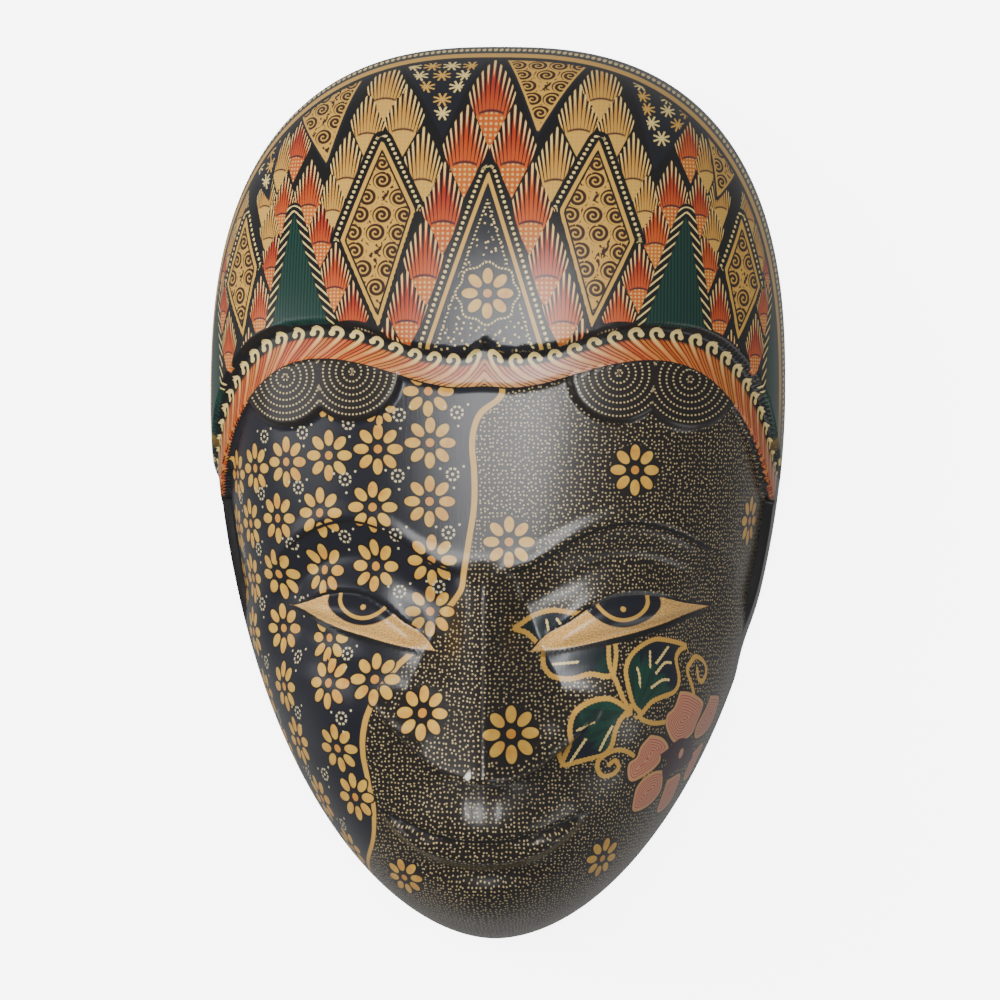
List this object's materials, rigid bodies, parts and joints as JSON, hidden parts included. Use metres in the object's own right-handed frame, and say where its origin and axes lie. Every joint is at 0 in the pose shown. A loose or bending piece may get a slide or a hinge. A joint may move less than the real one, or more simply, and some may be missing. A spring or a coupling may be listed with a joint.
{
  "type": "carved wooden mask",
  "caption": "Carved wooden mask with a stylised face under a tall crown, hollowed from behind and painted all over in batik patterns.",
  "frame": {"origin": "middle of the mask's outline, on the plane of its flat back rim", "axes": "+X across the face, +Y towards the top of the crown, +Z out of the face; the mask lies on its back rim"},
  "size_m": [0.1282, 0.2, 0.0766],
  "materials": {
    "painted_wood": "satin lacquer over dyed and painted wood"
  },
  "bodies": {
    "root": {"carved_mask": "painted_wood"}
  },
  "joints": []
}
